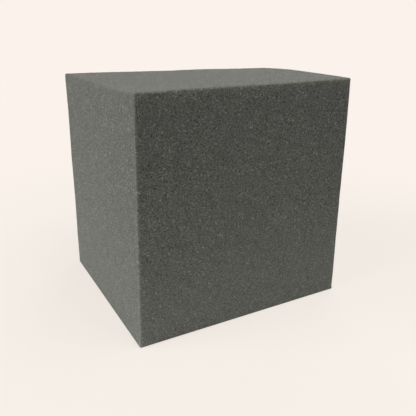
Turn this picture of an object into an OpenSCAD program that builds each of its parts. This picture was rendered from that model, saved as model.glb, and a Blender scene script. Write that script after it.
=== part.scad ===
// A block of open-cell foam, cut from the slab as one piece.
// X runs along the front face, Y from the front to the back, and Z up.
// The origin is the middle of the base, which the block stands on.

/* [Block] */
// Width, along the front face
block_w = 150; // [60:1:600]
// Depth, from the front face to the back face
block_d = 130; // [60:1:600]
// Height, from the base to the top
block_h = 150; // [60:1:600]

/* [Edges] */
// Radius of the slight rounding on every edge and corner
edge_r = 1; // [0.5:0.5:12]

/* [Hidden] */
// Steps round a full circle
$fn = 48;

// A box centred on the origin, with every edge and corner rounded to the same radius
module rounded_box(size, r) {
    // From the middle to the axis of the rounding, along X, Y and Z
    core = [for (side = size) side / 2 - r];

    // Three boxes, each reaching one pair of opposite faces
    for (axis = [0:2])
        cube([for (i = [0:2]) i == axis ? size[i] : 2 * core[i]], center = true);

    // Four edges along X, four along Y and four along Z
    for (a = [-1, 1], b = [-1, 1]) {
        translate([0, a * core[1], b * core[2]])
            rotate([0, 90, 0])
                cylinder(h = 2 * core[0], r = r, center = true);
        translate([a * core[0], 0, b * core[2]])
            rotate([90, 0, 0])
                cylinder(h = 2 * core[1], r = r, center = true);
        translate([a * core[0], b * core[1], 0])
            cylinder(h = 2 * core[2], r = r, center = true);
    }

    // Eight ball corners
    for (x = [-1, 1], y = [-1, 1], z = [-1, 1])
        translate([x * core[0], y * core[1], z * core[2]])
            sphere(r = r);
}

// The whole block, standing on its base
module foam_block() {
    color("#7f807a")
        translate([0, 0, block_h / 2])
            rounded_box([block_w, block_d, block_h], edge_r);
}

foam_block();
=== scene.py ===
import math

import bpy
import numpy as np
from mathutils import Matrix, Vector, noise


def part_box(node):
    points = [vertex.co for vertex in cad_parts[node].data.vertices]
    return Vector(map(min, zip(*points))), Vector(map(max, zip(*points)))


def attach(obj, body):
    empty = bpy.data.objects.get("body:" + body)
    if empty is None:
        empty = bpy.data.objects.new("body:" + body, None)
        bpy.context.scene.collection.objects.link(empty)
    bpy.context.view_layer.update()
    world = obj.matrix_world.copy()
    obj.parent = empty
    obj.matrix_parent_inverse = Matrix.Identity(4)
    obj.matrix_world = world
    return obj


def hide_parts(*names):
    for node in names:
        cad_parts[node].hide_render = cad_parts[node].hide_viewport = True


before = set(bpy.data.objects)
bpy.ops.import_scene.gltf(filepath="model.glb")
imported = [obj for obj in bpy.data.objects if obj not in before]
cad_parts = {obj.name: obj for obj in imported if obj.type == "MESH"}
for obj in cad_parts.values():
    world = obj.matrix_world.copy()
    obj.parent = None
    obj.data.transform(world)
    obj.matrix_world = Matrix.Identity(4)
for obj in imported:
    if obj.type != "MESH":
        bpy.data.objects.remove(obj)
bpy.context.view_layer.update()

# A hand-cut block of dark grey open-cell foam, standing on a pale floor in soft light.
# The block's shape is worked out in millimetres from its middle, and made in metres.
# X runs along its front face, Y from the front to the back, and Z up.

MM = 0.001
LOW, HIGH = (np.array(corner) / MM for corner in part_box("foam_block"))
MIDDLE = (LOW + HIGH) / 2
HALF = (HIGH - LOW) / 2
W, D, H = HALF

# ---- The grid that the block is made of, in millimetres ----
EDGE_R = 1.2          # rounding of the cut edges
EDGE_STEPS = 3        # grid steps from a flat face to the middle of a rounded edge
FINE_STEP = 0.6       # beside an edge
COARSE_STEP = 1.22    # inside a face
FINE_TO_COARSE = 8.0  # how far from the edge the steps stop growing
MAP_EDGE = 0.012      # share of each cell of the flat map that stays empty along its sides

# ---- The cut surface, in millimetres ----
SHOULDER = 0.42       # how far the faces fall away beside an edge
SHOULDER_REACH = 2.0
RAGGED = 0.05         # how ragged the edges are
RAGGED_REACH = 1.5
RAGGED_SIZE = 2.6
SLOW_WAVES = [(0.15, 38.0, 2), (0.06, 11.0, 3)]   # height, size and seed
FINE_WAVES = (0.07, 2.3, 4)
FINE_WAVES_FROM = 3.0   # how far from an edge the fine waves have their full height
UNEVEN_FROM = 3.0       # and how far above the base all of this has
ON_FACE = 0.01          # what lies closer to a face is on it
NOISE_STEP = (3.7, 11.3, 7.9)   # how far apart in the noise two seeds in turn lie

# ---- Where the cut strays from the true box, in millimetres ----
# A corner's push fades out towards the other corners
CORNERS = {
    (-1, 1, 1): (-0.6, 0.1, 0),
    (1, -1, 1): (0.3, 0.2, 0.6),
    (-1, -1, 1): (0.5, -0.3, 0.4),
    (-1, 1, -1): (0.4, 0, 0),
    (-1, -1, -1): (-0.2, 0.1, 0.2),
    (1, -1, -1): (0.4, -0.1, 0),
}
# Place, reach each way, and push
PUSHES = [
    ((-W, -30, H), (28, 30, 30), (0, 0, -0.8)),   # the top edge on the left sags
    ((W, -5, H), (45, 50, 45), (0, 0, 1.8)),      # the top edge on the right bulges
    ((10, D, H), (40, 30, 30), (0, 0, -0.8)),     # the top edge at the back sags
    ((W, D, H), (35, 25, 30), (0, 0, -1.9)),      # and drops at its right corner
]

# ---- Blow-holes: places on a face from its middle, radius and depth, in millimetres ----
# A face is its axis and side, and the places go along the next two axes in turn
FACES = [(axis, side) for axis in range(3) for side in (-1, 1)]
HOLES = {
    (1, -1): [(-60, 51, 0.9, 1.2), (36, -39, 0.6, 0.9)],
    (0, -1): [(28, 4, 0.6, 0.8)],
}
SMALL_HOLES = 6          # on each face, besides those above
HOLE_SIZES = (0.4, 0.8)  # radius
HOLE_DEPTH = 1.1         # in radii
HOLE_MARGIN = 0.93       # how far out on a face a hole may lie, as a share of its half
HOLE_ROUGH = 0.25        # how uneven a hole's rim is
HOLE_ROUGH_SIZE = 1.5
GATHER = 0.55            # how far the grid is drawn in towards a hole
GATHER_REACH = 2.2       # in radii
HOLE_REACH = 6           # how far from its middle a hole moves anything, in radii
HOLE_SEED = 7

# ---- The grain of the foam, with painted shade in its cells and pores and painted glints: sizes in millimetres, lightness as shares of FOAM ----
FOAM = (0.21, 0.213, 0.195)
CELL = 0.6               # across one cell of the foam
SLANT = (0.5, 0.7, 0.3)  # turns the cells, so that no face lies along their rows
WANDER = 0.8             # how far cells are pulled out of shape
WANDER_SCALE = 0.6       # waves of that pull in a millimetre
WALL_EDGE = 0.14         # where a wall ends, in cells from its middle
# Walls lighter and the cells' insides darker: the darkness is painted shade in the hollows of the
# cells
WALL = 2.1
INSIDE_SHADE_LOW = 0.05        # the darkest cell, the most painted shade in a cell's hollow
INSIDE_SHADE_RANGE = 0.62      # and how much lighter the lightest cell is
PAINTED_GLINT_FROM = 0.98        # chance above which a cell's skin gets a painted glint
PAINTED_GLINT_FULL = 0.99
PAINTED_GLINT = 1.3
SPECK_GAP = 2.0          # between places that may have a pale fleck or a dark pore
SPECK_EDGE = (0.18, 0.32)  # where one starts and ends to fade, in gaps from its middle
GLINT_FLECK_FROM = 0.86        # chance above which there is a fleck, a painted glint
GLINT_FLECK = 1.2
PORE_SHADE_FROM = 0.7          # chance above which there is a pore, painted shade in a tiny hole
PORE_SHADE = 0.9
BUMP = 0.12              # depth of the cells
BUMP_EDGE = 0.3          # where a wall's ridge ends, in cells from its middle
HOLLOW_SHADE = 0.75      # how light a blow-hole's bottom is painted: painted shade in the hole
CLOUD_SCALE = 0.15       # slow patches in a millimetre
CLOUD_NOISE = (0.2, 0.8)  # the noise's lower and upper end
CLOUD = (0.95, 1.05)     # and the lightness there
SHINE = 0.15             # the specular level of the foam

# How much of the grain the smoother places lose
CALM_TOP = 0.3           # the top face
CALM_ENDS = 0.15         # the left and right faces
CALM_BASE = 0.34         # all faces, down at the base
CALM_FROM = 0.4          # where that starts above the middle, as a share of half the height
CALM_EDGE = 0.5          # the edges
# The painted highlight along the edges, as shares of FOAM: lighter on the upright edges, and
# lighter and faintly olive on the top front edge
EDGE_HIGHLIGHTS = {"upright_highlight": (0.55, 0.55, 0.55), "brim_highlight": (0.28, 0.28, 0.08)}
EDGE_FADE = 0.9          # how far from an edge its painted highlight falls to about a third
BRIM_BELOW = 2.2         # the same down from the top front edge, which is the brim
BRIM_BEHIND = 0.8        # and back from it

# ---- The floor, light and camera, in metres and degrees ----
FLOOR = 4.0                       # half its width
PALE = (0.965, 0.888, 0.831)      # the page behind the block, as the camera sees it
SHEET = (0.97, 0.97, 0.90)        # the pale sheet that the block stands on
SHEET_EDGE = (0.18, 0.30)         # where the sheet fades out, from the block's middle
SHADOW_EDGE = (0.15, 0.45)        # where the real shade of the floor fades out
PAGE_NEAR = 0.75                  # share of the page's flat colour near the block
ROOM = (1.0, 1.0, 0.93)           # light from all round
ROOM_STRENGTH = 0.10
# Azimuth, elevation, distance, size and watts
LIGHTS = {
    "left_window": (-97, 22, 1.3, 0.9, 12.5),
    "high_right": (30, 68, 0.9, 0.7, 4.75),
    "behind_right": (135, 24, 1.3, 0.9, 5.0),
}
CAMERA = (-29.2, 17.2, 0.355)     # azimuth, elevation and distance
AIM = (-0.006, 0.0035, 0.0008)    # from the block's middle
LENS = 42.35                      # in millimetres, as is the sensor
SENSOR = 36.0
SHIFT = (0.045, -0.067)


def smooth_step(low, high, value):
    """0 at low, 1 at high, a smooth rise between, and flat outside."""
    share = np.clip((value - low) / (high - low), 0.0, 1.0)
    return share * share * (3.0 - 2.0 * share)


def waves(points, size, seed):
    """Smooth noise from about -1 to 1, in bumps about size millimetres across."""
    moved = points / size + np.array(NOISE_STEP) * seed
    return 2.0 * np.array([noise.noise(point) for point in moved])


def grid_lines(half):
    """Where grid lines cross one side of the sharp box, from -half to half. They turn
    the rounded edge in even angles, and lie closest together beside it."""
    flat = half - EDGE_R
    inward = [0.0]
    while inward[-1] < flat:
        share = min(inward[-1] / FINE_TO_COARSE, 1.0)
        inward.append(inward[-1] + FINE_STEP + (COARSE_STEP - FINE_STEP) * share)
    squeeze = flat / inward[-1]
    turn = math.pi / 4 / EDGE_STEPS
    edge = [flat + EDGE_R * math.tan(turn * i) for i in range(1, EDGE_STEPS + 1)]
    side = [flat - squeeze * step for step in reversed(inward)] + edge
    return np.array([-place for place in side[:0:-1]] + side)


def box_grid():
    """The six gridded faces of the sharp box: its points, its quads of point numbers,
    and where each quad's corners lie on a flat map of three columns and two rows."""
    lines = [grid_lines(half) for half in HALF]
    corners, maps = [], []
    for axis in range(3):
        u_axis, v_axis = (axis + 1) % 3, (axis + 2) % 3
        u, v = np.meshgrid(lines[u_axis], lines[v_axis], indexing="ij")
        for row, side in enumerate((-1, 1)):
            face = np.empty(u.shape + (3,))
            face[..., axis] = side * HALF[axis]
            face[..., u_axis] = u
            face[..., v_axis] = v
            in_cell = np.stack([u / HALF[u_axis], v / HALF[v_axis]], -1) / 2
            in_cell = 0.5 + (1 - 2 * MAP_EDGE) * in_cell
            place = (in_cell + (axis, row)) / (3, 2)
            ring = [(0, 0), (1, 0), (1, 1), (0, 1)][::side]
            across, up = u.shape[0] - 1, u.shape[1] - 1
            for found, source in ((corners, face), (maps, place)):
                quads = [source[i:i + across, j:j + up] for i, j in ring]
                found.append(np.stack(quads, 2).reshape(-1, source.shape[-1]))
    corners, maps = np.concatenate(corners), np.concatenate(maps)
    keys = np.round(corners * 1000).astype(np.int64)
    _, first, numbers = np.unique(keys, axis=0, return_index=True, return_inverse=True)
    return corners[first], numbers.reshape(-1, 4), maps


def all_holes():
    """Each hole as its face, its middle on that face, its radius and its depth."""
    chance = np.random.default_rng(HOLE_SEED)
    for axis, side in FACES:
        u_axis, v_axis = (axis + 1) % 3, (axis + 2) % 3
        holes = list(HOLES.get((axis, side), []))
        for _ in range(SMALL_HOLES):
            u, v = chance.uniform(-HOLE_MARGIN, HOLE_MARGIN, 2) * HALF[[u_axis, v_axis]]
            radius = chance.uniform(*HOLE_SIZES)
            holes.append((u, v, radius, HOLE_DEPTH * radius))
        for u, v, radius, depth in holes:
            yield axis, side, u_axis, v_axis, u, v, radius, depth


def sink_holes(points, moved):
    """Draws the grid in towards each hole and sinks it there. Gives how hollow each
    point is, from 0 to 1."""
    hollow = np.zeros(len(points))
    for axis, side, u_axis, v_axis, u, v, radius, depth in all_holes():
        on_face = points[:, axis] * side > HALF[axis] - ON_FACE
        away = points[:, [u_axis, v_axis]] - (u, v)
        far = np.hypot(*away.T)
        near = on_face & (far < HOLE_REACH * radius)
        drawn = 1 - GATHER * np.exp(-(far[near] / (GATHER_REACH * radius)) ** 2)
        moved[np.ix_(near, [u_axis, v_axis])] += away[near] * (drawn - 1)[:, None]
        rim = 1 + HOLE_ROUGH * waves(points[near], HOLE_ROUGH_SIZE, 5)
        dip = np.exp(-(far[near] * drawn / radius * rim) ** 4)
        moved[near, axis] -= side * depth * dip
        hollow[near] = np.maximum(hollow[near], dip)
    return hollow


def cut_depth(points, to_edge):
    """How far the cut lies inside the rounded box: soft shoulders beside the edges,
    slightly ragged edges, slow waves, and fine ones away from the edges."""
    sink = SHOULDER * np.exp(-to_edge / SHOULDER_REACH)
    sink += RAGGED * np.exp(-to_edge / RAGGED_REACH) * (1 + waves(points, RAGGED_SIZE, 1))
    for height, size, seed in SLOW_WAVES:
        sink += height * waves(points, size, seed)
    height, size, seed = FINE_WAVES
    sink += height * waves(points, size, seed) * smooth_step(0.0, FINE_WAVES_FROM, to_edge)
    return sink * smooth_step(0.0, UNEVEN_FROM, points[:, 2] + H)


def surface_shares(points, to_edge):
    """What the material reads at each point, from 0 to 1: how much of the grain is lost,
    and how near an upright edge and the top front edge it is, which sets the painted highlight
    there."""
    to_upright = (HALF - np.abs(points))[:, :2].max(1)
    below_top = H - points[:, 2]
    behind_front = D + points[:, 1]
    calm = CALM_TOP * smooth_step(H - EDGE_R, H, points[:, 2])
    calm += CALM_ENDS * smooth_step(W - EDGE_R, W, np.abs(points[:, 0]))
    calm += CALM_BASE * smooth_step(CALM_FROM * H, -H, points[:, 2])
    calm += CALM_EDGE * np.exp(-to_edge / EDGE_FADE)
    return {
        "calm": calm,
        "upright_highlight": np.exp(-to_upright / EDGE_FADE),
        "brim_highlight": np.exp(-behind_front / BRIM_BEHIND - below_top / BRIM_BELOW),
    }


def cut_block(sharp):
    """The sharp box's points, moved to the surface that the knife and the foam leave,
    and what the material reads at each of them."""
    core = np.clip(sharp, EDGE_R - HALF, HALF - EDGE_R)
    out = sharp - core
    out /= np.linalg.norm(out, axis=1, keepdims=True)
    points = core + EDGE_R * out
    to_edge = np.sort(HALF - np.abs(points), axis=1)[:, 1]
    moved = points - out * cut_depth(points, to_edge)[:, None]
    for corner, push in CORNERS.items():
        share = ((1 + points / HALF * corner) / 2).prod(1)
        moved += share[:, None] * push
    for place, reach, push in PUSHES:
        far = (points - place) / reach
        moved += np.exp(-(far * far).sum(1))[:, None] * push
    hollow = sink_holes(sharp, moved)
    base = points[:, 2] < -H + ON_FACE
    moved[~base, 2] = np.maximum(moved[~base, 2], -H)
    return moved, {"hollow": hollow} | surface_shares(points, to_edge)


def make_block(material):
    """The whole block as one closed mesh."""
    points, quads, maps = box_grid()
    points, shares = cut_block(points)
    points = (points + MIDDLE) * MM
    mesh = bpy.data.meshes.new("cut_foam")
    mesh.from_pydata(points.tolist(), [], quads.tolist())
    for name, values in shares.items():
        share = mesh.attributes.new(name, "FLOAT", "POINT")
        share.data.foreach_set("value", values.astype(np.float32))
    mesh.uv_layers.new(name="OFBake").uv.foreach_set("vector", maps.astype(np.float32).ravel())
    mesh.polygons.foreach_set("use_smooth", np.ones(len(quads), bool))
    mesh.materials.append(material)
    mesh.validate()
    block = bpy.data.objects.new("cut_foam", mesh)
    bpy.context.scene.collection.objects.link(block)
    return block


def new_material(name):
    material = bpy.data.materials.new(name)
    material.use_nodes = True
    tree = material.node_tree
    tree.nodes.clear()
    output = tree.nodes.new("ShaderNodeOutputMaterial")
    return material, tree, output


def add(tree, kind, inputs, **settings):
    """A new shader node's outputs. Each input is a value or another node's output."""
    node = tree.nodes.new("ShaderNode" + kind)
    for name, value in settings.items():
        setattr(node, name, value)
    for name, value in inputs.items():
        socket = node.inputs[name]
        if isinstance(value, bpy.types.NodeSocket):
            tree.links.new(value, socket)
        else:
            socket.default_value = value
    return node.outputs


def math_of(tree, operation, *values):
    return add(tree, "Math", dict(enumerate(values)), operation=operation)[0]


def vector_of(tree, operation, *values):
    return add(tree, "VectorMath", dict(enumerate(values)), operation=operation)[0]


def ramp(tree, value, start, end, low, high):
    """A value turned from one range to another, with smooth ends."""
    ranges = {"Value": value, "From Min": start, "From Max": end, "To Min": low, "To Max": high}
    return add(tree, "MapRange", ranges, interpolation_type="SMOOTHSTEP")[0]


def scaled(tree, vector, factor):
    return add(tree, "VectorMath", {0: vector, "Scale": factor}, operation="SCALE")[0]


def share_of(tree, name):
    """What the mesh holds under that name at each point."""
    return add(tree, "Attribute", {}, attribute_name=name)["Fac"]


def slanted_place(tree):
    """The place on the block in millimetres, turned by SLANT."""
    place = scaled(tree, add(tree, "TexCoord", {})["Object"], 1 / MM)
    turn = {"Vector": place, "Rotation": SLANT}
    return add(tree, "VectorRotate", turn, rotation_type="EULER_XYZ")[0]


def bent_place(tree, place):
    """The place pulled about at random, so that the cells are uneven."""
    bend = {"Vector": place, "Scale": WANDER_SCALE, "Detail": 1.0}
    bend = vector_of(tree, "SUBTRACT", add(tree, "TexNoise", bend)["Color"], (0.5, 0.5, 0.5))
    return vector_of(tree, "ADD", scaled(tree, bend, WANDER), place)


def cells(tree, place):
    """Open cells of many depths between lighter walls, their insides darkened by painted shade,
    and a few skins with a painted glint: how light they are, and their height from 0 to 2."""
    grid = {"Vector": bent_place(tree, place), "Scale": 1 / CELL}
    chance = add(tree, "TexVoronoi", grid, feature="F1")["Color"]
    chance = add(tree, "SeparateXYZ", {0: chance})
    to_wall = add(tree, "TexVoronoi", grid, feature="DISTANCE_TO_EDGE")["Distance"]
    wall = ramp(tree, to_wall, 0.0, WALL_EDGE, 1.0, 0.0)
    inside = math_of(tree, "MULTIPLY_ADD", chance[0], INSIDE_SHADE_RANGE, INSIDE_SHADE_LOW)
    rise = math_of(tree, "SUBTRACT", WALL, inside)
    level = math_of(tree, "MULTIPLY_ADD", rise, wall, inside)
    # A painted glint: a highlight on a few skins, painted into the colour
    painted_glint = ramp(tree, chance[1], PAINTED_GLINT_FROM, PAINTED_GLINT_FULL, 0.0, PAINTED_GLINT)
    ridge = ramp(tree, to_wall, 0.0, BUMP_EDGE, 1.0, 0.0)
    return math_of(tree, "ADD", level, painted_glint), math_of(tree, "ADD", chance[2], ridge)


def specks(tree, place):
    """Sparse pale flecks, which are painted glints, and dark pores, which are painted shade in
    tiny holes, as the light that they add and take.
    """
    spot = add(tree, "TexVoronoi", {"Vector": place, "Scale": 1 / SPECK_GAP}, feature="F1")
    chance = add(tree, "SeparateXYZ", {0: spot["Color"]})
    # Pale flecks: painted glints
    pale = ramp(tree, chance[0], GLINT_FLECK_FROM, 1.0, 0.0, GLINT_FLECK)
    # Dark pores: painted shade in tiny holes
    dark = ramp(tree, chance[1], PORE_SHADE_FROM, 1.0, 0.0, PORE_SHADE)
    light = math_of(tree, "SUBTRACT", pale, dark)
    return math_of(tree, "MULTIPLY", ramp(tree, spot["Distance"], *SPECK_EDGE, 1.0, 0.0), light)


def calmed(tree, level):
    """The level drawn towards 1, where the surface is smoother."""
    back = math_of(tree, "SUBTRACT", 1.0, level)
    return math_of(tree, "MULTIPLY_ADD", back, share_of(tree, "calm"), level)


def shaded(tree, level, place):
    """The level darkened in the blow-holes by painted shade, and changed a little in slow patches.
    """
    shade = ramp(tree, share_of(tree, "hollow"), 0.0, 1.0, 1.0, HOLLOW_SHADE)
    level = math_of(tree, "MULTIPLY", level, shade)
    cloud = add(tree, "TexNoise", {"Vector": place, "Scale": CLOUD_SCALE, "Detail": 2.0})[0]
    return math_of(tree, "MULTIPLY", level, ramp(tree, cloud, *CLOUD_NOISE, *CLOUD))


def edge_highlight(tree):
    """What the colour is multiplied by at the edges: a painted highlight."""
    highlight_factor = (1.0, 1.0, 1.0)
    for name, change in EDGE_HIGHLIGHTS.items():
        highlight_factor = vector_of(tree, "ADD", scaled(tree, change, share_of(tree, name)), highlight_factor)
    return highlight_factor


def foam_material():
    """Dark grey open-cell foam, with painted shade, painted glints and painted edge highlights in
    its colour.
    """
    material, tree, output = new_material("charcoal_foam")
    place = slanted_place(tree)
    level, height = cells(tree, place)
    level = math_of(tree, "ADD", level, specks(tree, place))
    level = math_of(tree, "MAXIMUM", level, INSIDE_SHADE_LOW)
    level = shaded(tree, calmed(tree, level), place)
    colour = vector_of(tree, "MULTIPLY", scaled(tree, FOAM, level), edge_highlight(tree))
    bump = {"Strength": 1.0, "Distance": BUMP * MM, "Height": height}
    shader = add(tree, "BsdfPrincipled", {
        "Base Color": colour,
        "Roughness": 1.0,
        "Specular IOR Level": SHINE,
        "Normal": add(tree, "Bump", bump)[0],
    })
    tree.links.new(shader[0], output.inputs["Surface"])
    return material


def seen(tree):
    """1 where the camera looks, directly or by a reflection, and 0 for light on its way."""
    ray = add(tree, "LightPath", {})
    direct = math_of(tree, "MAXIMUM", ray["Is Camera Ray"], ray["Is Glossy Ray"])
    return math_of(tree, "MAXIMUM", direct, ray["Is Transmission Ray"])


def floor_material():
    """A pale sheet under the block, on a floor that throws no light back. The camera sees
    the page's flat colour over both, with part of the real shade near the block, so that
    its shadow stays."""
    material, tree, output = new_material("pale_floor")
    looked_at = seen(tree)
    away = add(tree, "TexCoord", {})["Object"]
    away = add(tree, "VectorMath", {0: away}, operation="LENGTH")["Value"]
    sheet = math_of(tree, "MAXIMUM", looked_at, ramp(tree, away, *SHEET_EDGE, 1.0, 0.0))
    page = ramp(tree, away, *SHADOW_EDGE, PAGE_NEAR, 1.0)
    page = math_of(tree, "MULTIPLY", looked_at, page)
    lit = add(tree, "BsdfDiffuse", {"Color": scaled(tree, SHEET, sheet)})[0]
    flat = add(tree, "Emission", {"Color": PALE + (1,), "Strength": 1.0})[0]
    tree.links.new(add(tree, "MixShader", {0: page, 1: lit, 2: flat})[0], output.inputs["Surface"])
    return material


def make_world():
    """An even room light, where the camera sees the page."""
    world = bpy.data.worlds.new("studio")
    bpy.context.scene.world = world
    world.use_nodes = True
    tree = world.node_tree
    tree.nodes.clear()
    room = add(tree, "Background", {"Color": ROOM + (1,), "Strength": ROOM_STRENGTH})[0]
    page = add(tree, "Background", {"Color": PALE + (1,), "Strength": 1.0})[0]
    mix = add(tree, "MixShader", {0: seen(tree), 1: room, 2: page})[0]
    add(tree, "OutputWorld", {"Surface": mix})


def make_floor():
    mesh = bpy.data.meshes.new("floor")
    ring = [(-1, -1), (1, -1), (1, 1), (-1, 1)]
    mesh.from_pydata([(x * FLOOR, y * FLOOR, 0) for x, y in ring], [], [(0, 1, 2, 3)])
    mesh.materials.append(floor_material())
    floor = bpy.data.objects.new("floor", mesh)
    bpy.context.scene.collection.objects.link(floor)


def on_sphere(azimuth, elevation, distance):
    """A step from the block's middle, with azimuth 0 in front of it and 90 on its right."""
    a, e = math.radians(azimuth), math.radians(elevation)
    return Vector((math.sin(a) * math.cos(e), -math.cos(a) * math.cos(e), math.sin(e))) * distance


def aim(thing, place, target):
    thing.location = place
    thing.rotation_mode = "QUATERNION"
    thing.rotation_quaternion = (target - place).to_track_quat("-Z", "Y")


def soft_light(name, azimuth, elevation, distance, size, power):
    lamp = bpy.data.lights.new(name, "AREA")
    lamp.shape = "SQUARE"
    lamp.size = size
    lamp.energy = power
    thing = bpy.data.objects.new(name, lamp)
    bpy.context.scene.collection.objects.link(thing)
    centre = Vector(MIDDLE * MM)
    aim(thing, centre + on_sphere(azimuth, elevation, distance), centre)


def make_camera():
    camera = bpy.data.cameras.new("camera")
    camera.lens = LENS
    camera.sensor_width = SENSOR
    camera.shift_x, camera.shift_y = SHIFT
    thing = bpy.data.objects.new("camera", camera)
    bpy.context.scene.collection.objects.link(thing)
    centre = Vector(MIDDLE * MM)
    aim(thing, centre + on_sphere(*CAMERA), centre + Vector(AIM))
    bpy.context.scene.camera = thing


# ---- The scene ----
make_camera()
block = make_block(foam_material())
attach(block, "root")
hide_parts("foam_block")

make_floor()
make_world()
for name, light in LIGHTS.items():
    soft_light(name, *light)

bpy.context.scene.view_settings.view_transform = "Standard"
